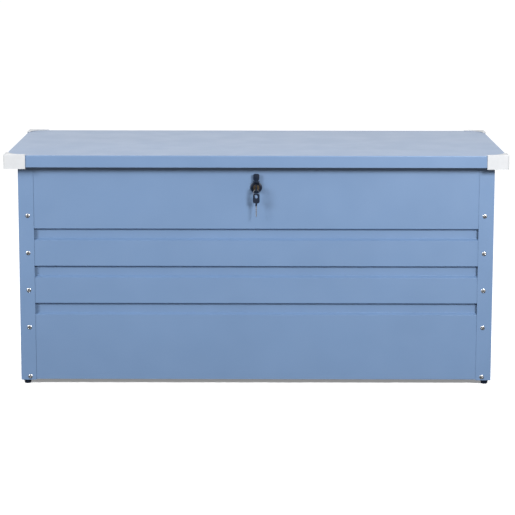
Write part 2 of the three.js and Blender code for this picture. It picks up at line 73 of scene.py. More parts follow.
MM = 0.001
JOINTS = {joint["name"]: joint for joint in frame["joints"]}
SIDES = (("left", -1), ("right", 1))
CORNERS = (
    ("front_left", -1, -1), ("front_right", 1, -1), ("rear_left", -1, 1), ("rear_right", 1, 1),
)


# ---------------------------------------------------------------- settings

def length(name, description, default, **limits):
    """A setting in metres."""
    return FloatProperty(
        name=name, description=description, default=default, unit="LENGTH", **limits)


def tint(name, description, default):
    """A colour setting."""
    return FloatVectorProperty(
        name=name, description=description, default=default, subtype="COLOR", size=3, min=0, max=1)


class SheetSettings(bpy.types.PropertyGroup):
    """Sheet thicknesses, bends and grooves of the folded metal"""

    panel: length("Wall sheet", "Thickness of the four walls", 0.8 * MM, min=0.0003)
    post: length("Post sheet", "Thickness of the corner posts", 1.2 * MM, min=0.0003)
    lid: length("Lid sheet", "Thickness of the lid", 0.8 * MM, min=0.0003)
    bend: length("Bend", "How far each fold reaches along the sheet", 2.2 * MM, min=0.0)
    flange: length("Flange", "Folded edge along the top and base of a wall", 12 * MM)
    hem: length("Hem", "Thickness of the lip's folded hem", 2 * MM)
    hem_height: length("Hem height", "How far the hem is folded up", 6 * MM)
    groove_pitch: length("Groove pitch", "Spacing of the pressed grooves", 100 * MM)
    groove_drop: length("Groove drop", "Rim of the box down to the top groove's middle", 200 * MM)
    groove_opening: length("Groove opening", "Height of a groove at the wall's face", 32 * MM)
    groove_floor: length("Groove floor", "Height of a groove's flat floor", 22 * MM)
    groove_depth: length("Groove depth", "How deep the grooves are pressed", 10 * MM)
    grooves: IntProperty(
        name="Grooves", description="Pressed grooves in each wall", default=3, min=0)


class HardwareSettings(bpy.types.PropertyGroup):
    """Caps, screws and keys"""

    cap_wall: length("Cap wall", "Thickness of the lid's corner caps", 2.2 * MM)
    cap_tip: length("Cap tip", "Width of the cap's top flap at its ends", 9 * MM)
    cap_round: length("Cap rounding", "Radius of the cap's upright corner", 5 * MM)
    screw_radius: length("Screw head radius", "Truss head of the sheet screws", 5.75 * MM)
    screw_height: length("Screw head height", "Crown of the screw head", 2.0 * MM)
    screw_inset: length("Screw inset", "Post's outer corner to the screws", 24 * MM)
    key_half: length("Key head half width", "Half the width of the key's head", 9 * MM)
    key_hole: length("Key hole radius", "Hole in the key's head", 4.5 * MM)


class FinishSettings(bpy.types.PropertyGroup):
    """Colours and gloss of the finishes"""

    body_paint: tint("Wall paint", "Blue paint of the walls and posts", (0.114, 0.190, 0.325))
    lid_paint: tint("Lid paint", "The same paint on the lid", (0.114, 0.190, 0.325))
    cap: tint("Cap plastic", "White moulded plastic of the lid's corners", (0.425, 0.434, 0.448))
    black: tint("Black plastic", "Moulded plastic of the lock and keys", (0.006, 0.011, 0.024))
    steel: tint("Zinc", "Zinc-plated steel", (0.42, 0.425, 0.435))
    brass: tint("Brass", "Lock plug", (0.17, 0.13, 0.08))
    paint_roughness: FloatProperty(
        name="Paint roughness", description="Gloss of the paint", default=0.42, min=0, max=1,
        subtype="FACTOR")


class StageSettings(bpy.types.PropertyGroup):
    """Camera and lights"""

    camera_place: FloatVectorProperty(
        name="Camera", description="Where the camera stands", size=3, subtype="TRANSLATION",
        default=(0.0035, -5.529, 1.2467))
    pitch: FloatProperty(
        name="Pitch", description="How far the camera looks down", default=math.radians(9.76),
        subtype="ANGLE")
    roll: FloatProperty(
        name="Roll", description="How far the camera leans", default=math.radians(0.09),
        subtype="ANGLE")
    lens: FloatProperty(
        name="Lens", description="Focal length in millimetres", default=140.9)
    left_light: FloatProperty(
        name="Left softbox", description="Power of the soft light on the left", default=72)
    right_light: FloatProperty(
        name="Right softbox", description="Power of the soft light on the right", default=92)
    overhead_light: FloatProperty(
        name="Overhead light", description="Power of the wide soft light above", default=6)
    surround: FloatProperty(
        name="Surround", description="Brightness of the white surroundings", default=1.06)
    front_surround: FloatProperty(
        name="Front surround", description="Brightness of the surroundings on the camera's side",
        default=0.6)
    floor_glow: FloatProperty(
        name="Floor glow", description="Light the floor gives off by itself", default=0.2)
    underside: FloatProperty(
        name="Underside", description="Brightness of the light that comes up from below",
        default=0.15)


def sizes():
    return bpy.context.scene.box_sheet


def hardware():
    return bpy.context.scene.box_hardware


# ---------------------------------------------------------------- shape helpers

def formed_grid(u_steps, v_steps, place):
    """A sheet of u_steps by v_steps faces through the points place(u, v), u and v from 0 to 1."""
    bm = bmesh.new()
    bmesh.ops.create_grid(bm, x_segments=u_steps, y_segments=v_steps, size=0.5)
    for vert in bm.verts:
        vert.co = place(vert.co.x + 0.5, vert.co.y + 0.5)
    return bm


def block(bm, low, high):
    """A box in bm between two corners."""
    low, high = Vector(low), Vector(high)
    matrix = Matrix.Translation((low + high) / 2) @ Matrix.Diagonal((*(high - low), 1))
    bmesh.ops.create_cube(bm, size=1.0, matrix=matrix)


def soften(bm, edges, offset, segments=3):
    """Rounds edges off."""
    bmesh.ops.bevel(
        bm, geom=list(edges), offset=offset, offset_type="OFFSET", segments=segments, profile=0.5,
        affect="EDGES", clamp_overlap=True, material=-1)


def folds(bm, least=math.radians(20)):
    """The inner edges where two faces meet at an angle."""
    return [e for e in bm.edges if len(e.link_faces) == 2 and e.calc_face_angle(0) > least]


def outward(bm, way):
    """Turns an open sheet's faces so that most of its area looks along way."""
    bmesh.ops.recalc_face_normals(bm, faces=bm.faces[:])
    bm.normal_update()
    if sum(face.normal.dot(Vector(way)) * face.calc_area() for face in bm.faces) < 0:
        bmesh.ops.reverse_faces(bm, faces=bm.faces[:])


def weld(bm, close=1e-6):
    """Closes seams and gaps at the ends, then points the closed skin outwards."""
    bmesh.ops.remove_doubles(bm, verts=bm.verts[:], dist=close)
    open_edges = [e for e in bm.edges if e.is_boundary]
    if open_edges:
        bmesh.ops.holes_fill(bm, edges=open_edges, sides=0)
    bmesh.ops.recalc_face_normals(bm, faces=bm.faces[:])


def rounded(points, radius, steps=4):
    """The outline with each inner corner eased by a small curve."""
    path = [Vector(points[0])]
    for before, corner, after in zip(points, points[1:], points[2:]):
        before, corner, after = Vector(before), Vector(corner), Vector(after)
        reach = min(radius, (before - corner).length / 2, (after - corner).length / 2)
        start = corner + (before - corner).normalized() * reach
        end = corner + (after - corner).normalized() * reach
        for i in range(steps + 1):
            t = i / steps
            path.append((1 - t) ** 2 * start + 2 * t * (1 - t) * corner + t * t * end)
    path.append(Vector(points[-1]))
    return path


def turned(bm, points, matrix, radius, steps=48):
    """Spins a profile of (radius, height) points round its axis, into bm through matrix.

    radius eases the profile's corners. Vertices that are in place already have their tag set.
    """
    path = rounded(points, radius)
    verts = [bm.verts.new((p.x, 0, p.y)) for p in path]
    edges = [bm.edges.new(pair) for pair in zip(verts, verts[1:])]
    bmesh.ops.spin(
        bm, geom=verts + edges, cent=(0, 0, 0), axis=(0, 0, 1), dvec=(0, 0, 0),
        angle=2 * math.pi, steps=steps, use_merge=True)
    fresh = [v for v in bm.verts if not v.tag]
    bmesh.ops.transform(bm, matrix=matrix, verts=fresh)
    for vert in fresh:
        vert.tag = True


def extrude(bm, edges):
    """Extrudes edges where they are; returns the new vertices and the new edges."""
    made = bmesh.ops.extrude_edge_only(bm, edges=edges)["geom"]
    return tuple(
        [part for part in made if isinstance(part, kind)]
        for kind in (bmesh.types.BMVert, bmesh.types.BMEdge))


def signed_power(value, exponent):
    """A power that keeps its sign; with a small exponent it squares off a round section."""
    return math.copysign(abs(value) ** exponent, value)


def add_to(bm, other):
    """Copies another bmesh into bm and frees it."""
    mesh = bpy.data.meshes.new("part")
    other.to_mesh(mesh)
    other.free()
    bm.from_mesh(mesh)
    bpy.data.meshes.remove(mesh)


def piece(name, bm, body, slot, stands_for, smooth=30):
    """Makes an object of the bmesh that rides on a body and stands for the named nodes.

    smooth is the angle in degrees past which two faces meet in a sharp edge.
    """
    mesh = bpy.data.meshes.new(name)
    bm.to_mesh(mesh)
    bm.free()
    mesh.shade_smooth()
    mesh.set_sharp_from_angle(angle=math.radians(smooth))
    mesh.materials.append(finish(slot))
    obj = bpy.data.objects.new(name, mesh)
    bpy.context.scene.collection.objects.link(obj)
    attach(obj, body)
    if stands_for:
        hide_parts(*stands_for)
    return obj


def thicken(obj, thickness, edge):
    """Gives a sheet its thickness behind its outer face, and eases its cut edges."""
    wall = obj.modifiers.new("Sheet", "SOLIDIFY")
    wall.thickness = thickness
    wall.offset = -1
    wall.use_even_offset = True
    ease = obj.modifiers.new("Edge", "BEVEL")
    ease.width = edge
    ease.segments = 2
    ease.limit_method = "ANGLE"
    ease.angle_limit = math.radians(60)
    ease.use_clamp_overlap = True
    flat = obj.modifiers.new("Flat faces", "WEIGHTED_NORMAL")
    flat.keep_sharp = True
    flat.weight = 100


def facing(way, at):
    """The matrix that stands +Z of a shape along way, at a place."""
    turn = Vector(way).to_track_quat("Z", "Y").to_matrix().to_4x4()
    return Matrix.Translation(at) @ turn


# ---------------------------------------------------------------- finishes

def shader(name, **inputs):
    """A material with a principled shader whose plain numbers are set on its own sockets."""
    made = bpy.data.materials.new(name)
    made.use_nodes = True
    tree = made.node_tree
    tree.nodes.clear()
    out = tree.nodes.new("ShaderNodeOutputMaterial")
    principled = tree.nodes.new("ShaderNodeBsdfPrincipled")
    tree.links.new(principled.outputs["BSDF"], out.inputs["Surface"])
    for socket, value in inputs.items():
        principled.inputs[socket.replace("_", " ")].default_value = value
    return made, tree, principled


def noise(tree, scale, detail=2.0, stretch=(1, 1, 1)):
    """A noise pattern in object space; returns its value socket."""
    coords = tree.nodes.new("ShaderNodeTexCoord")
    mapping = tree.nodes.new("ShaderNodeMapping")
    mapping.inputs["Scale"].default_value = stretch
    pattern = tree.nodes.new("ShaderNodeTexNoise")
    pattern.inputs["Scale"].default_value = scale
    pattern.inputs["Detail"].default_value = detail
    tree.links.new(coords.outputs["Object"], mapping.inputs["Vector"])
    tree.links.new(mapping.outputs["Vector"], pattern.inputs["Vector"])
    return pattern.outputs["Fac"]


def ramp(tree, value, low, high, start=0.35, end=0.65):
    """Runs a pattern between two colours or two grey levels."""
    node = tree.nodes.new("ShaderNodeValToRGB")
    node.color_ramp.elements[0].position = start
    node.color_ramp.elements[1].position = end
    node.color_ramp.elements[0].color = low if isinstance(low, tuple) else (low, low, low, 1)
    node.color_ramp.elements[1].color = high if isinstance(high, tuple) else (high, high, high, 1)
    tree.links.new(value, node.inputs["Fac"])
    return node.outputs["Color"]


def bump(tree, principled, value, strength, distance):
    """Lets a pattern tilt the surface's shading."""
    node = tree.nodes.new("ShaderNodeBump")
    node.inputs["Strength"].default_value = strength
    node.inputs["Distance"].default_value = distance
    tree.links.new(value, node.inputs["Height"])
    tree.links.new(node.outputs["Normal"], principled.inputs["Normal"])


def shades(colour, spread):
    """A darker and a lighter shade of a colour."""
    return tuple((*(c * (1 + s * spread) for c in colour), 1.0) for s in (-1, 1))


def paint(name, colour, roughness):
    """Blue metallic paint: cloudy flake tone, slight orange peel under a thin clear coat."""
    made, tree, principled = shader(
        name, Metallic=0.08, Coat_Weight=0.3, Coat_Roughness=0.3, Specular_IOR_Level=0.7)
    cloud = ramp(tree, noise(tree, scale=5, detail=3), *shades(colour, spread=0.02))
    flake = ramp(tree, noise(tree, scale=900, detail=1), low=0.94, high=1.0)
    mix = tree.nodes.new("ShaderNodeMix")
    mix.data_type = "RGBA"
    mix.blend_type = "MULTIPLY"
    mix.inputs["Factor"].default_value = 0.6
    tree.links.new(cloud, mix.inputs["A"])
    tree.links.new(flake, mix.inputs["B"])
    tree.links.new(mix.outputs["Result"], principled.inputs["Base Color"])
    gloss = ramp(tree, noise(tree, scale=14, detail=4), roughness - 0.03, roughness + 0.03)
    tree.links.new(gloss, principled.inputs["Roughness"])
    peel = noise(tree, scale=420)
    bump(tree, principled, peel, strength=0.06, distance=0.3 * MM)
    return made


def moulded(name, colour, roughness, grain, strength, shine):
    """Moulded plastic with a fine eroded grain."""
    made, tree, principled = shader(name, Specular_IOR_Level=shine)
    tone = ramp(tree, noise(tree, scale=40, detail=3), *shades(colour, spread=0.03))
    tree.links.new(tone, principled.inputs["Base Color"])
    gloss = ramp(tree, noise(tree, scale=90, detail=3), roughness - 0.05, roughness + 0.05)
    tree.links.new(gloss, principled.inputs["Roughness"])
    bump(tree, principled, noise(tree, grain, detail=3), strength, distance=0.2 * MM)
    return made


def metal(name, colour, roughness, brush):
    """Plated or drawn metal with fine marks along one way."""
    made, tree, principled = shader(name, Metallic=1.0)
    tone = ramp(tree, noise(tree, scale=50, detail=4), *shades(colour, spread=0.07))
    tree.links.new(tone, principled.inputs["Base Color"])
    marks = noise(tree, scale=300, detail=4, stretch=brush)
    gloss = ramp(tree, marks, roughness - 0.06, roughness + 0.08)
    tree.links.new(gloss, principled.inputs["Roughness"])
    bump(tree, principled, marks, strength=0.08, distance=0.1 * MM)
    return made


def galvanised(name, colour):
    """Zinc-coated sheet with its spangle of flat grey crystals."""
    made, tree, principled = shader(name, Metallic=0.85)
    coords = tree.nodes.new("ShaderNodeTexCoord")
    cells = tree.nodes.new("ShaderNodeTexVoronoi")
    cells.inputs["Scale"].default_value = 90
    tree.links.new(coords.outputs["Object"], cells.inputs["Vector"])
    crystal = cells.outputs["Color"]
    tone = ramp(tree, crystal, *shades(colour, spread=0.12), start=0.0, end=1.0)
    tree.links.new(tone, principled.inputs["Base Color"])
    gloss = ramp(tree, crystal, low=0.34, high=0.52, start=0.0, end=1.0)
    tree.links.new(gloss, principled.inputs["Roughness"])
    frost = noise(tree, scale=250, detail=3)
    bump(tree, principled, frost, strength=0.05, distance=0.2 * MM)
    return made


def rubber(name):
    """Matt black rubber with a fine skin."""
    made, tree, principled = shader(name, Specular_IOR_Level=0.3)
    dark, light = (0.012, 0.012, 0.013, 1), (0.022, 0.022, 0.024, 1)
    tone = ramp(tree, noise(tree, scale=60, detail=3), dark, light)
    tree.links.new(tone, principled.inputs["Base Color"])
    gloss = ramp(tree, noise(tree, scale=120, detail=3), low=0.68, high=0.82)
    tree.links.new(gloss, principled.inputs["Roughness"])
    bump(tree, principled, noise(tree, scale=900), strength=0.2, distance=0.2 * MM)
    return made


def finish(slot):
    """The material of one of the record's slots, made once."""
    found = bpy.data.materials.get(f"box_{slot}")
    if found:
        return found
    look = bpy.context.scene.box_finish
    makers = {
        "body_paint": lambda name: paint(name, look.body_paint, look.paint_roughness),
        "lid_paint": lambda name: paint(name, look.lid_paint, look.paint_roughness),
        "cap_plastic": lambda name: moulded(
            name, look.cap, roughness=0.45, grain=1200, strength=0.1, shine=0.5),
        "black_plastic": lambda name: moulded(
            name, look.black, roughness=0.36, grain=1600, strength=0.12, shine=0.22),
        "floor_sheet": lambda name: galvanised(name, colour=(0.42, 0.44, 0.46)),
        "rubber": rubber,
        "steel": lambda name: metal(name, look.steel, roughness=0.3, brush=(1, 1, 4)),
        "brass": lambda name: metal(name, look.brass, roughness=0.34, brush=(4, 1, 4)),
        "strut_black": lambda name: paint(name, (0.008, 0.009, 0.011), roughness=0.3),
    }
    return makers[slot](f"box_{slot}")


# ---------------------------------------------------------------- walls and posts

POST_BEND = 2.6 * MM     # how far a post's fold reaches along its legs
TAB_MARGIN = 2 * MM      # edge of a post's leg to its foot tab


def upright_corner(node, side_x, side_y):
    """Where the corner of a node's box on the given sides stands, as x and y."""
    low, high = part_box(node)
    return high.x if side_x > 0 else low.x, high.y if side_y > 0 else low.y


def wall_line(low, rim):
    """A wall's section as (depth, height) points: base flange, grooves and top flange."""
    s = sizes()
    line = [(s.flange, low), (0, low)]
    for i in reversed(range(s.grooves)):
        middle = rim - s.groove_drop - i * s.groove_pitch
        half, flat = s.groove_opening / 2, s.groove_floor / 2
        line += [
            (0, middle - half), (s.groove_depth, middle - flat),
            (s.groove_depth, middle + flat), (0, middle + half),
        ]
    return line + [(0, rim), (s.flange, rim)]


def make_wall(name, way):
    """One wall: its section is drawn along the wall, then the folds are rounded."""
    low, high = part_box(name)
    line = wall_line(low.z, high.z)
    across = way[0] != 0
    start, end = (low.y, high.y) if across else (low.x, high.x)
    side = 0 if across else 1
    face = high[side] if way[side] > 0 else low[side]

    def place(u, v):
        depth, height = line[round(u * (len(line) - 1))]
        along = start + v * (end - start)
        inward = face - way[side] * depth
        return Vector((inward, along, height) if across else (along, inward, height))

    bm = formed_grid(len(line) - 1, 1, place)
    soften(bm, folds(bm), sizes().bend, segments=4)
    outward(bm, way)
    obj = piece(f"wall_{name}", bm, "box", "body_paint", [name], smooth=40)
    thicken(obj, sizes().panel, edge=0.2 * MM)


class BOX_OT_walls(bpy.types.Operator):
    """Make the four ribbed walls with rounded folds"""

    bl_idname = "storage_box.walls"
    bl_label = "Walls"

    def execute(self, context):
        ways = {
            "front_panel": (0, -1, 0), "rear_panel": (0, 1, 0),
            "left_panel": (-1, 0, 0), "right_panel": (1, 0, 0),
        }
        for name, way in ways.items():
            make_wall(name, way)
        return {"FINISHED"}


class BOX_OT_posts(bpy.types.Operator):
    """Make the corner posts as folded angles with a foot tab"""

    bl_idname = "storage_box.posts"
    bl_label = "Corner posts"

    def execute(self, context):
        thick = sizes().post
        for name, side_x, side_y in CORNERS:
            node = f"post_{name}"
            low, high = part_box(node)
            corner_x, corner_y = upright_corner(node, side_x, side_y)
            leg = high.x - low.x
            plan = [(leg, 0), (0, 0), (0, leg)]

            def place(u, v):
                a, b = plan[round(u * (len(plan) - 1))]
                height = low.z + v * (high.z - low.z)
                return Vector((corner_x - side_x * a, corner_y - side_y * b, height))

            def tab_place(u, v):
                span = leg - TAB_MARGIN - thick
                a, b = thick + u * span, thick + v * span
                return Vector((corner_x - side_x * a, corner_y - side_y * b, low.z))

            bm = formed_grid(len(plan) - 1, 1, place)
            soften(bm, folds(bm), POST_BEND, segments=5)
            outward(bm, (side_x, side_y, 0))
            tab = formed_grid(1, 1, tab_place)
            outward(tab, (0, 0, -1))
            add_to(bm, tab)
            obj = piece(f"corner_{node}", bm, "box", "body_paint", [node], smooth=40)
            thicken(obj, thick, edge=0.25 * MM)
        return {"FINISHED"}


# ---------------------------------------------------------------- feet and buffers

SOLE_RADIUS = 8 * MM        # flat under a foot
SOLE_FLARE = 8.6 * MM       # radius at the top of the sole's slanted edge
SOLE_EDGE = 1.5 * MM        # height of that edge
COLLAR_STEP = 0.6 * MM      # the collar's overhang past the tapered side
COLLAR_HEIGHT = 2.2 * MM
COLLAR_SLANT = 0.3 * MM     # height of the slanted step under the collar
BUFFER_TOP = 0.8            # a buffer's upper part, as a share of its base's radius
BUFFER_BASE = 0.25          # its base's share of the height
BUFFER_NECK = 0.35          # where its upper part begins, as a share of the height


def foot_profile(top, height):
    """A foot's slanted sole, tapered side and collar."""
    shoulder = height - COLLAR_HEIGHT
    return [
        (0, 0), (SOLE_RADIUS, 0), (SOLE_FLARE, SOLE_EDGE),
        (top - COLLAR_STEP, shoulder - COLLAR_SLANT), (top, shoulder), (top, height), (0, height),
    ]


def buffer_profile(radius, height):
    """A buffer's wide base and narrower upper part."""
    upper = BUFFER_TOP * radius
    return [
        (0, 0), (radius, 0), (radius, BUFFER_BASE * height), (upper, BUFFER_NECK * height),
        (upper, height), (0, height),
    ]


def turned_upright(name, node, slot, profile, radius):
    """A turned piece of the body on the upright axis of the node it stands for."""
    low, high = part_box(node)
    centre = (low + high) / 2
    at = Matrix.Translation((centre.x, centre.y, low.z))
    bm = bmesh.new()
    turned(bm, profile((high.x - low.x) / 2, high.z - low.z), at, radius)
    weld(bm)
    piece(name, bm, "box", slot, [node])


class BOX_OT_feet(bpy.types.Operator):
    """Make the tapered feet and the lid's rubber buffers"""

    bl_idname = "storage_box.feet"
    bl_label = "Feet and buffers"

    def execute(self, context):
        for name, _, _ in CORNERS:
            turned_upright(
                f"tapered_foot_{name}", f"foot_{name}", "black_plastic", foot_profile, 0.6 * MM)
        for name, _ in SIDES:
            turned_upright(
                f"rubber_buffer_{name}", f"lid_buffer_{name}", "rubber", buffer_profile, 1.2 * MM)
        return {"FINISHED"}


# ---------------------------------------------------------------- screws

RECESS_DEPTH = 1.9 * MM
RECESS_ARM = 0.62           # half length of the cross, as a share of the head's radius
RECESS_WIDTH = 0.17         # its arms' width, as a share of the same
END_SLOPE, SIDE_SLOPE = 0.3, 0.5    # slopes of an arm, as shares of its length and width
HEAD_DOME = 0.86            # 1 would round the head down to its seat
HEAD_STEPS = 40
FIRST_LEAN, NEXT_LEAN, SIDE_LEAN = 0.35, 1.1, 0.6    # how the crosses are left turned, in radians


def screw_head(bm, matrix):
    """A truss head with a cross recess, its seat on the ground plane of matrix."""
    radius, height = hardware().screw_radius, hardware().screw_height
    arm, width = RECESS_ARM * radius, RECESS_WIDTH * radius

    def share(value):
        return min(max(value, 0), 1)

    def slot(along, over):
        """How deep one arm of the cross is, from 0 to 1, with sloping ends and sides."""
        end = (arm - abs(along)) / (END_SLOPE * arm)
        side = (width * (1 + SIDE_SLOPE / 2) - abs(over)) / (width * SIDE_SLOPE)
        return share(end) * share(side)

    def place(u, v):
        a, b = 2 * u - 1, 2 * v - 1
        x = radius * a * math.sqrt(1 - b * b / 2)
        y = radius * b * math.sqrt(1 - a * a / 2)
        crown = math.sqrt(max(1 - (x * x + y * y) / (radius * radius) * HEAD_DOME, 0))
        recess = max(slot(x, y), slot(y, x))
        return Vector((x, y, height * crown - RECESS_DEPTH * recess))

    head = formed_grid(HEAD_STEPS, HEAD_STEPS, place)
    skirt, _ = extrude(head, [e for e in head.edges if e.is_boundary])
    for vert in skirt:
        vert.co.z = 0
    weld(head)
    bmesh.ops.transform(head, matrix=matrix, verts=head.verts[:])
    add_to(bm, head)


class BOX_OT_screws(bpy.types.Operator):
    """Drive the cross-head screws into both legs of every post"""

    bl_idname = "storage_box.screws"
    bl_label = "Post screws"

    def execute(self, context):
        count = sum(name.startswith("post_screw_left") for name in frame["nodes"])
        centres = [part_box(f"post_screw_left_{i + 1}") for i in range(count)]
        heights = [(low.z + high.z) / 2 for low, high in centres]
        inset = hardware().screw_inset
        for name, side_x, side_y in CORNERS:
            x, y = upright_corner(f"post_{name}", side_x, side_y)
            legs = (
                ("face", (0, side_y, 0), (x - side_x * inset, y)),
                ("side", (side_x, 0, 0), (x, y - side_y * inset)),
            )
            for leg, way, (at_x, at_y) in legs:
                bm = bmesh.new()
                for i, z in enumerate(heights):
                    lean = FIRST_LEAN + NEXT_LEAN * i + SIDE_LEAN * side_x
                    turn = Matrix.Rotation(lean, 4, "Z")
                    screw_head(bm, facing(way, (at_x, at_y, z)) @ turn)
                replaced = []
                if leg == "face" and side_y < 0:
                    side = "left" if side_x < 0 else "right"
                    replaced = [f"post_screw_{side}_{i + 1}" for i in range(count)]
                piece(f"screws_{name}_{leg}", bm, "box", "steel", replaced, smooth=35)
        return {"FINISHED"}


# ---------------------------------------------------------------- lid

HEM_ROUND = 0.95 * MM       # rounding of the lip's hem
SHORTEST_HEM = 0.1          # hem edges are longer than this, the ones across its corners shorter
LEVEL = 0.01 * MM           # heights closer than this are the same
CAP_FOLD = 1.8 * MM         # rounding between a cap's top flap and its walls


class BOX_OT_lid(bpy.types.Operator):
    """Make the lid with folded lips and a hemmed edge"""

    bl_idname = "storage_box.lid"
    bl_label = "Lid"

    def execute(self, context):
        s = sizes()
        low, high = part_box("lid_panel")
        bm = bmesh.new()
        block(bm, low, high)
        bm.normal_update()
        under = [f for f in bm.faces if f.normal.z < -0.5]
        bmesh.ops.delete(bm, geom=under, context="FACES_ONLY")
        corners, hem_edges = extrude(bm, [e for e in bm.edges if e.is_boundary])
        for vert in corners:
            vert.co.x -= math.copysign(s.hem, vert.co.x)
            vert.co.y -= math.copysign(s.hem, vert.co.y)
        inner_corners, _ = extrude(bm, hem_edges)
        for vert in inner_corners:
            vert.co.z += s.hem_height
        outward(bm, (0, 0, 1))
        near_top = [e for e in folds(bm) if max(v.co.z for v in e.verts) > high.z - MM]
        soften(bm, near_top, s.bend, segments=5)
        hem = [
            e for e in folds(bm)
            if all(abs(v.co.z - low.z) < LEVEL for v in e.verts)
            and e.calc_length() > SHORTEST_HEM
        ]
        soften(bm, hem, HEM_ROUND, segments=4)
        obj = piece("lid_skin", bm, "lid", "lid_paint", ["lid_panel"], smooth=40)
        thicken(obj, s.lid, edge=0.15 * MM)
        return {"FINISHED"}


class BOX_OT_caps(bpy.types.Operator):
    """Mould the four corner caps with their hollow-edged top flap"""

    bl_idname = "storage_box.caps"
    bl_label = "Corner caps"

    def execute(self, context):
        h = hardware()
        for name, side_x, side_y in CORNERS:
            node = f"corner_cap_{name}"
            low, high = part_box(node)
            leg = high.x - low.x
            radius = h.cap_round
            straight = leg - radius
            length = 2 * straight + radius * math.pi / 2
            corner_x, corner_y = upright_corner(node, side_x, side_y)

            def outer(u):
                """The outline along both legs and round the upright corner."""
                run = u * length
                if run < straight:
                    return leg - run, 0
                if run > length - straight:
                    return 0, leg - (length - run)
                angle = (run - straight) / radius
                return radius - radius * math.sin(angle), radius - radius * math.cos(angle)

            def hollow(u):
                """The flap's inner edge, a quarter circle that bows towards the corner."""
                angle = -math.pi / 2 * (1 + u)
                reach = leg - h.cap_tip
                return leg + reach * math.cos(angle), leg + reach * math.sin(angle)

            def place(u, v):
                a, b = ((1 - v) * p + v * q for p, q in zip(outer(u), hollow(u)))
                return Vector((corner_x - side_x * a, corner_y - side_y * b, high.z))

            bm = bmesh.new()
            bmesh.ops.create_grid(bm, x_segments=72, y_segments=8, size=0.5)
            # The outline is the grid's side where v is 0.
            outline = [e for e in bm.edges if all(v.co.y < -0.499 for v in e.verts)]
            for vert in bm.verts:
                vert.co = place(vert.co.x + 0.5, vert.co.y + 0.5)
            base, _ = extrude(bm, outline)
            for vert in base:
                vert.co.z = low.z
            outward(bm, (0.3 * side_x, 0.3 * side_y, 1))
            soften(bm, folds(bm, math.radians(60)), CAP_FOLD, segments=4)
            obj = piece(f"moulded_cap_{name}", bm, "lid", "cap_plastic", [node], smooth=40)
            thicken(obj, h.cap_wall, edge=0.35 * MM)
        return {"FINISHED"}


# ---------------------------------------------------------------- lock and keys

# Rosette and barrel: radii from the plug's axis, depths from the wall's face, minus in front.
ROSETTE_RADIUS, CROWN_RADIUS, PLUG_BORE, BARREL_RADIUS = 15.5 * MM, 12.6 * MM, 8.3 * MM, 9.5 * MM
CROWN_FRONT, BORE_FRONT, EDGE_FRONT, EDGE_LEAN = -5.3 * MM, -5.1 * MM, -4.2 * MM, 0.2 * MM
ROSETTE_BACK, BARREL_FRONT, BARREL_END = -0.4 * MM, -0.3 * MM, 29 * MM
# Ears that hold the flap's pin: sideways from the middle, from the pin, and up from the axis.
EAR_NEAR, EAR_FAR = 6.1 * MM, 8.3 * MM
EAR_FRONT, EAR_BACK = 3 * MM, 6 * MM
EAR_FOOT, EAR_TOP = 9 * MM, 18 * MM
# Dust flap: heights up from its pin, fronts and backs from the pin's axis.
LEAF_START, LEAF_HALF = 4.8 * MM, 1 * MM
NECK_SIDE, NECK_HALF, NECK_TOP = 5.8 * MM, 0.95 * MM, 7 * MM
PAD_SIDE, PAD_FRONT, PAD_BACK, PAD_START, PAD_MARGIN = 5 * MM, 1.35 * MM, 0.9 * MM, 9 * MM, 4 * MM
KNUCKLE_BORE, KNUCKLE_RADIUS = 1.3 * MM, 2.6 * MM

# Key heads, from the hole's middle.
HEAD_ABOVE, HEAD_BELOW = 8 * MM, 17.5 * MM
HEAD_CORNER, HEAD_HALF = 4.5 * MM, 1.6 * MM
STEM_SIDE, STEM_INSIDE, STEM_OUTSIDE = 2.2 * MM, 1.5 * MM, 6.5 * MM
# Key blades: the collar, bittings and tip are shares of the length.
BLADE_START, BLADE_LENGTH, BLADE_SIDE, BLADE_HALF = 24.3 * MM, 28.9 * MM, 1.35 * MM, 1 * MM
COLLAR_SHARE, COLLAR_SIDE, COLLAR_HALF = 0.035, 2.2 * MM, 1.6 * MM
BITTINGS, BITTING_START, BITTING_DEPTH = 5, 0.3, 0.35 * MM
TIP_SHARE, TIP_SIDE = 0.07, 0.35

RING_WIRE = 0.8 * MM              # half thickness of the two turns together
RING_STRAND = 0.42 * MM           # half thickness of one turn
RING_TURNS, RING_START = 1.97, 0.5
RING_YAW = math.radians(20)
SPARE_YAW = math.radians(-22)


def rounded_plate(bm, low, high, corner, edge, flat_axis):
    """A plate with rounded outline corners across flat_axis and eased edges all round."""
    before = set(bm.verts)
    block(bm, low, high)

    def own_edges():
        return [e for e in bm.edges if e.verts[0] not in before]

    def runs_through(edge):
        way = (edge.verts[0].co - edge.verts[1].co).normalized()
        return abs(way[flat_axis]) > 0.9

    soften(bm, [e for e in own_edges() if runs_through(e)], corner, segments=8)
    steep = math.radians(60)
    sharp = [e for e in own_edges() if len(e.link_faces) == 2 and e.calc_face_angle(0) > steep]
    soften(bm, sharp, edge)


def key_axes(down, across):
    """The way down a key, across it and through its thickness, as unit vectors."""
    down, across = Vector(down), Vector(across)
    return down, across, down.cross(across).normalized()


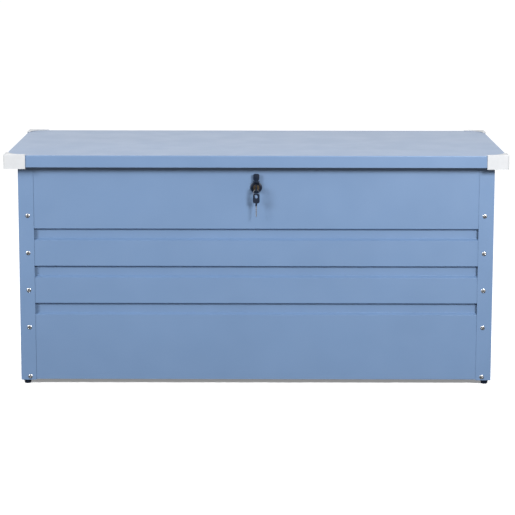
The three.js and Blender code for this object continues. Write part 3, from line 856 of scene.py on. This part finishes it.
def key_head(name, centre, down, across, node, body):
    """A moulded key head: a rounded plate round its hole, with a stem on the blade's side."""
    down, across, thick = key_axes(down, across)
    half, hole = hardware().key_half, hardware().key_hole

    def outline(angle):
        """How far the head reaches along a ray from the hole, as a rounded rectangle."""
        x, z = math.cos(angle), math.sin(angle)
        height = HEAD_ABOVE if z > 0 else HEAD_BELOW
        reach = min(half / max(abs(x), 1e-9), height / max(abs(z), 1e-9))
        flat_x, flat_z = half - HEAD_CORNER, height - HEAD_CORNER
        if abs(reach * x) > flat_x and abs(reach * z) > flat_z:
            cx, cz = math.copysign(flat_x, x), math.copysign(flat_z, z)
            along = cx * x + cz * z
            reach = along + math.sqrt(max(along ** 2 - cx ** 2 - cz ** 2 + HEAD_CORNER ** 2, 0))
        return reach

    def place(u, v):
        angle, section = 2 * math.pi * u, 2 * math.pi * v
        blend = 0.5 + 0.5 * signed_power(math.cos(section), 0.22)
        reach = hole + (outline(angle) - hole) * blend
        height = HEAD_HALF * signed_power(math.sin(section), 0.3)
        flat = centre + across * (reach * math.cos(angle)) - down * (reach * math.sin(angle))
        return flat + thick * height

    bm = formed_grid(96, 40, place)
    weld(bm, close=2e-6)
    stem = bmesh.new()
    rounded_plate(
        stem, (-STEM_SIDE, -HEAD_HALF, HEAD_BELOW - STEM_INSIDE),
        (STEM_SIDE, HEAD_HALF, HEAD_BELOW + STEM_OUTSIDE), 0.5 * MM, 0.25 * MM, flat_axis=2)
    basis = Matrix((across, thick, down)).transposed().to_4x4()
    bmesh.ops.transform(stem, matrix=Matrix.Translation(centre) @ basis, verts=stem.verts[:])
    add_to(bm, stem)
    bmesh.ops.recalc_face_normals(bm, faces=bm.faces[:])
    piece(name, bm, body, "black_plastic", [node], smooth=35)


def key_blade(name, centre, down, across, node, body):
    """A slim cut blade with bittings on both edges, and the collar where it meets the head."""
    down, across, thick = key_axes(down, across)

    def half_width(t):
        if t < COLLAR_SHARE:
            return COLLAR_SIDE
        tip = min((1 - t) / TIP_SHARE, 1)
        cut = max(t - BITTING_START, 0) / (1 - BITTING_START)
        bitting = 0.5 - 0.5 * math.cos(2 * math.pi * BITTINGS * cut)
        return (BLADE_SIDE - BITTING_DEPTH * bitting) * (TIP_SIDE + (1 - TIP_SIDE) * tip ** 0.6)

    def place(u, v):
        angle = 2 * math.pi * v
        deep = COLLAR_HALF if u < COLLAR_SHARE else BLADE_HALF
        side = half_width(u) * signed_power(math.cos(angle), 0.35)
        out = deep * signed_power(math.sin(angle), 0.35)
        return centre + down * (BLADE_START + u * BLADE_LENGTH) + across * side + thick * out

    bm = formed_grid(60, 24, place)
    weld(bm, close=1e-7)
    piece(name, bm, body, "steel", [node], smooth=35)


class BOX_OT_lock(bpy.types.Operator):
    """Make the lock's rosette with its hinge ears, and the standing dust flap"""

    bl_idname = "storage_box.lock"
    bl_label = "Lock"

    def execute(self, context):
        axis = Vector(JOINTS["plug_turn"]["pos_m"])
        pin_low, pin_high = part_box("flap_pin")
        pin = (pin_low + pin_high) / 2
        into = Matrix.Translation(axis) @ Matrix.Rotation(-math.pi / 2, 4, "X")
        bm = bmesh.new()
        turned(bm, [
            (PLUG_BORE, BORE_FRONT), (CROWN_RADIUS, CROWN_FRONT),
            (ROSETTE_RADIUS - EDGE_LEAN, EDGE_FRONT), (ROSETTE_RADIUS, ROSETTE_BACK),
            (BARREL_RADIUS, BARREL_FRONT), (BARREL_RADIUS, BARREL_END), (PLUG_BORE, BARREL_END),
            (PLUG_BORE, BORE_FRONT),
        ], into, radius=0.9 * MM, steps=72)
        for side in (-1, 1):
            near, far = sorted((side * EAR_NEAR, side * EAR_FAR))
            ear_low = (near, pin.y - EAR_FRONT, axis.z + EAR_FOOT)
            ear_high = (far, pin.y + EAR_BACK, axis.z + EAR_TOP)
            rounded_plate(bm, ear_low, ear_high, 2.6 * MM, 0.3 * MM, flat_axis=0)
        bmesh.ops.remove_doubles(bm, verts=bm.verts[:], dist=1e-7)
        bmesh.ops.recalc_face_normals(bm, faces=bm.faces[:])
        piece("lock_rosette", bm, "box", "black_plastic", ["lock_housing"], smooth=35)

        flap_low, flap_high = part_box("lock_flap")
        leaf = bmesh.new()
        rounded_plate(
            leaf, (flap_low.x, pin.y - LEAF_HALF, pin.z + LEAF_START),
            (flap_high.x, pin.y + LEAF_HALF, flap_high.z), 4 * MM, 0.35 * MM, flat_axis=1)
        rounded_plate(
            leaf, (-NECK_SIDE, pin.y - NECK_HALF, pin.z),
            (NECK_SIDE, pin.y + NECK_HALF, pin.z + NECK_TOP), 0.5 * MM, 0.2 * MM, flat_axis=1)
        rounded_plate(
            leaf, (-PAD_SIDE, pin.y - PAD_FRONT, pin.z + PAD_START),
            (PAD_SIDE, pin.y + PAD_BACK, flap_high.z - PAD_MARGIN), 2 * MM, 0.3 * MM, flat_axis=1)
        for vert in leaf.verts:
            vert.tag = True
        left_end = Matrix.Translation((-NECK_SIDE, pin.y, pin.z))
        turned(leaf, [
            (KNUCKLE_BORE, 0), (KNUCKLE_RADIUS, 0), (KNUCKLE_RADIUS, 2 * NECK_SIDE),
            (KNUCKLE_BORE, 2 * NECK_SIDE), (KNUCKLE_BORE, 0),
        ], left_end @ Matrix.Rotation(math.pi / 2, 4, "Y"), radius=0.2 * MM, steps=32)
        bmesh.ops.remove_doubles(leaf, verts=leaf.verts[:], dist=1e-7)
        bmesh.ops.recalc_face_normals(leaf, faces=leaf.faces[:])
        piece("dust_flap", leaf, "flap", "black_plastic", ["lock_flap"], smooth=35)
        return {"FINISHED"}


class BOX_OT_keys(bpy.types.Operator):
    """Make both keys and the split ring that joins them"""

    bl_idname = "storage_box.keys"
    bl_label = "Keys and ring"

    def execute(self, context):
        axis = Vector(JOINTS["plug_turn"]["pos_m"])
        hang = Vector(JOINTS["ring_hang"]["pos_m"])
        hole = Vector((0, hang.y, axis.z))
        down, across = (0, 1, 0), (0, 0, 1)
        key_head("turning_key_head", hole, down, across, "key_head", "key")
        key_blade("turning_key_blade", hole, down, across, "key_blade", "key")

        low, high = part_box("key_ring")
        centre = (low + high) / 2
        radius = (high.z - low.z) / 2 - RING_WIRE
        along = Vector((math.cos(RING_YAW), math.sin(RING_YAW), 0))
        out = Vector((-math.sin(RING_YAW), math.cos(RING_YAW), 0))
        strand = 0.9 * RING_STRAND

        def coil(u, v):
            angle, section = 2 * math.pi * RING_TURNS * u - RING_START, 2 * math.pi * v
            reach = radius + strand * math.cos(section)
            shift = (2 * u - 1) * RING_STRAND + strand * math.sin(section)
            turn = along * math.cos(angle) + Vector((0, 0, math.sin(angle)))
            return centre + turn * reach + out * shift

        bm = formed_grid(192, 14, coil)
        weld(bm, close=1e-7)
        piece("split_ring", bm, "ring", "steel", ["key_ring"])

        swing = Vector(JOINTS["spare_key_swing"]["pos_m"])
        _, head_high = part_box("spare_key_head")
        spare = Vector((0, swing.y, head_high.z - HEAD_ABOVE))
        down, across = (0, 0, -1), (math.cos(SPARE_YAW), math.sin(SPARE_YAW), 0)
        key_head("spare_key_moulding", spare, down, across, "spare_key_head", "spare_key")
        key_blade("spare_key_steel", spare, down, across, "spare_key_blade", "spare_key")
        return {"FINISHED"}


# ---------------------------------------------------------------- gas struts

EYE_BORE, EYE_RADIUS, EYE_HALF = 3.3 * MM, 7 * MM, 4 * MM
SHANK_RADIUS, SHANK_START = 4 * MM, 6 * MM
# Tube: distances from the stud on the body.
TUBE_RADIUS, TUBE_NOSE, TUBE_BORE, GUIDE_BORE = 9 * MM, 8.2 * MM, 7.6 * MM, 4.3 * MM
TUBE_START, TUBE_END, TUBE_SLANT = 18 * MM, 223 * MM, 2 * MM
TUBE_FLOOR, TUBE_GUIDE = 24 * MM, 213 * MM
# Rod: distances from the stud on the lid.
ROD_RADIUS, SOCKET_RADIUS, PISTON_RADIUS = 4 * MM, 6 * MM, 7.2 * MM
SOCKET_START, SOCKET_END, PISTON_START, PISTON_END = 4 * MM, 14 * MM, 238 * MM, 248 * MM


def strut_eye(bm, matrix):
    """The ring at a strut's end that turns on its stud."""
    turned(bm, [
        (EYE_BORE, -EYE_HALF), (EYE_RADIUS, -EYE_HALF), (EYE_RADIUS, EYE_HALF),
        (EYE_BORE, EYE_HALF), (EYE_BORE, -EYE_HALF),
    ], matrix, radius=0.8 * MM)


class BOX_OT_struts(bpy.types.Operator):
    """Turn the gas struts' tubes, rods and end eyes"""

    bl_idname = "storage_box.struts"
    bl_label = "Gas struts"

    def execute(self, context):
        for name, side in SIDES:
            foot = Vector(JOINTS[f"strut_cylinder_{name}_turn"]["pos_m"])
            head = Vector(JOINTS[f"strut_rod_{name}_turn"]["pos_m"])
            way = (head - foot).normalized()
            tube = bmesh.new()
            turned(tube, [
                (0, SHANK_START), (SHANK_RADIUS, SHANK_START), (SHANK_RADIUS, TUBE_START),
                (TUBE_NOSE, TUBE_START), (TUBE_RADIUS, TUBE_START + TUBE_SLANT),
                (TUBE_RADIUS, TUBE_END - TUBE_SLANT), (TUBE_NOSE, TUBE_END),
                (GUIDE_BORE, TUBE_END), (GUIDE_BORE, TUBE_GUIDE), (TUBE_BORE, TUBE_GUIDE),
                (TUBE_BORE, TUBE_FLOOR), (0, TUBE_FLOOR),
            ], facing(way, foot), radius=0.8 * MM)
            strut_eye(tube, facing((side, 0, 0), foot))
            weld(tube)
            cylinder = f"strut_cylinder_{name}"
            piece(f"strut_tube_{name}", tube, cylinder, "strut_black", [cylinder])
            rod = bmesh.new()
            turned(rod, [
                (0, PISTON_END), (PISTON_RADIUS, PISTON_END), (PISTON_RADIUS, PISTON_START),
                (ROD_RADIUS, PISTON_START), (ROD_RADIUS, SOCKET_END), (SOCKET_RADIUS, SOCKET_END),
                (SOCKET_RADIUS, SOCKET_START), (0, SOCKET_START),
            ], facing(-way, head), radius=0.5 * MM)
            strut_eye(rod, facing((side, 0, 0), head))
            weld(rod)
            node = f"strut_rod_{name}"
            piece(f"strut_piston_rod_{name}", rod, node, "steel", [node])
        return {"FINISHED"}


# ---------------------------------------------------------------- the frame's own nodes

class BOX_OT_frame_finishes(bpy.types.Operator):
    """Give every node of the frame the finish of its slot"""

    bl_idname = "storage_box.frame_finishes"
    bl_label = "Frame finishes"

    def execute(self, context):
        slots = {s["node"]: s["material_slot"] for s in frame["record"]["subparts"]}
        for name, obj in frame["nodes"].items():
            obj.data.materials.clear()
            obj.data.materials.append(finish(slots[name]))
        return {"FINISHED"}


# ---------------------------------------------------------------- stage

FLOOR_HALF = 30              # metres
FLOOR_GAP = 0.5 * MM         # the feet's undersides to the floor
FRONT_FADE = (-0.4, 0.2)     # from the camera's side to the back, on the sky's unit ball
BELOW_FADE = (-0.2, 0.0)     # from below up to the horizon
# Name, place, aim, size and the setting that holds the power.
SOFTBOXES = (
    ("softbox_left", (-2.1, -2.1, 1.55), (0, 0, 0.4), (0.85, 0.75), "left_light"),
    ("softbox_right", (1.35, -2.5, 1.6), (0, 0, 0.4), (0.6, 0.6), "right_light"),
    ("overhead_light", (0, 0.4, 3.6), (0, 0, 0.3), (3.0, 2.4), "overhead_light"),
)


def fade(tree, value, start, end):
    """A node that runs from its To Min to its To Max while value goes from start to end."""
    node = tree.nodes.new("ShaderNodeMapRange")
    node.inputs["From Min"].default_value = start
    node.inputs["From Max"].default_value = end
    tree.links.new(value, node.inputs["Value"])
    return node


def softbox(name, place, target, size, power):
    """A rectangular soft light at a place, aimed at target."""
    light = bpy.data.lights.new(name, "AREA")
    light.shape = "RECTANGLE"
    light.size, light.size_y = size
    light.energy = power
    obj = bpy.data.objects.new(name, light)
    obj.location = place
    obj.rotation_euler = (Vector(target) - Vector(place)).to_track_quat("-Z", "Y").to_euler()
    bpy.context.scene.collection.objects.link(obj)


class BOX_OT_stage(bpy.types.Operator):
    """Set the pale floor, the soft lights and the camera"""

    bl_idname = "storage_box.stage"
    bl_label = "Stage"

    def execute(self, context):
        s = context.scene.box_stage
        bm = bmesh.new()
        bmesh.ops.create_grid(bm, x_segments=1, y_segments=1, size=FLOOR_HALF)
        mesh = bpy.data.meshes.new("floor")
        bm.to_mesh(mesh)
        bm.free()
        made, tree, principled = shader(
            "stage_floor", Roughness=0.9, Specular_IOR_Level=0.1, Emission_Color=(1, 1, 1, 1),
            Emission_Strength=s.floor_glow)
        tone = ramp(tree, noise(tree, scale=1.5), low=0.96, high=0.98)
        tree.links.new(tone, principled.inputs["Base Color"])
        mesh.materials.append(made)
        floor = bpy.data.objects.new("floor", mesh)
        floor.location.z = CAD_BOUNDS[0][2] - FLOOR_GAP
        context.scene.collection.objects.link(floor)
        floor.visible_diffuse = False
        floor.visible_glossy = False

        for name, place, target, size, setting in SOFTBOXES:
            softbox(name, place, target, size, getattr(s, setting))

        world = bpy.data.worlds.new("studio")
        world.use_nodes = True
        tree = world.node_tree
        sky = tree.nodes["Background"]
        sky.inputs["Color"].default_value = (1, 1, 1, 1)
        coords = tree.nodes.new("ShaderNodeTexCoord")
        split = tree.nodes.new("ShaderNodeSeparateXYZ")
        tree.links.new(coords.outputs["Generated"], split.inputs["Vector"])
        depth = fade(tree, split.outputs["Y"], *FRONT_FADE)
        depth.inputs["To Min"].default_value = s.front_surround
        depth.inputs["To Max"].default_value = s.surround
        level = fade(tree, split.outputs["Z"], *BELOW_FADE)
        level.inputs["To Min"].default_value = s.underside
        tree.links.new(depth.outputs["Result"], level.inputs["To Max"])
        tree.links.new(level.outputs["Result"], sky.inputs["Strength"])
        context.scene.world = world
        context.scene.view_settings.view_transform = "Standard"

        camera = bpy.data.cameras.new("camera")
        camera.lens = s.lens
        camera.sensor_width = 36
        obj = bpy.data.objects.new("camera", camera)
        turn = Matrix.Rotation(math.pi / 2 - s.pitch, 4, "X") @ Matrix.Rotation(s.roll, 4, "Z")
        obj.matrix_world = Matrix.Translation(s.camera_place) @ turn
        context.scene.collection.objects.link(obj)
        context.scene.camera = obj
        return {"FINISHED"}


# ---------------------------------------------------------------- add-on

STEPS = (
    "stage", "frame_finishes", "walls", "posts", "feet", "screws", "lid", "caps", "lock", "keys",
    "struts",
)


class BOX_PT_storage_box(bpy.types.Panel):
    """The steps and settings of the storage box"""

    bl_label = "Storage Box"
    bl_idname = "BOX_PT_storage_box"
    bl_space_type = "VIEW_3D"
    bl_region_type = "UI"
    bl_category = "Storage Box"

    def draw(self, context):
        for step in STEPS:
            self.layout.operator(f"storage_box.{step}")
        for group in GROUPS:
            settings = getattr(context.scene, group)
            for name in settings.__annotations__:
                self.layout.prop(settings, name)


GROUPS = {
    "box_sheet": SheetSettings,
    "box_hardware": HardwareSettings,
    "box_finish": FinishSettings,
    "box_stage": StageSettings,
}
CLASSES = (
    *GROUPS.values(),
    BOX_OT_stage, BOX_OT_frame_finishes, BOX_OT_walls, BOX_OT_posts, BOX_OT_feet, BOX_OT_screws,
    BOX_OT_lid, BOX_OT_caps, BOX_OT_lock, BOX_OT_keys, BOX_OT_struts, BOX_PT_storage_box,
)


def register():
    for cls in CLASSES:
        bpy.utils.register_class(cls)
    for name, group in GROUPS.items():
        setattr(bpy.types.Scene, name, PointerProperty(type=group))


def unregister():
    for name in GROUPS:
        delattr(bpy.types.Scene, name)
    for cls in reversed(CLASSES):
        bpy.utils.unregister_class(cls)


def main():
    register()
    for step in STEPS:
        getattr(bpy.ops.storage_box, step)()


if __name__ == "__main__":
    main()
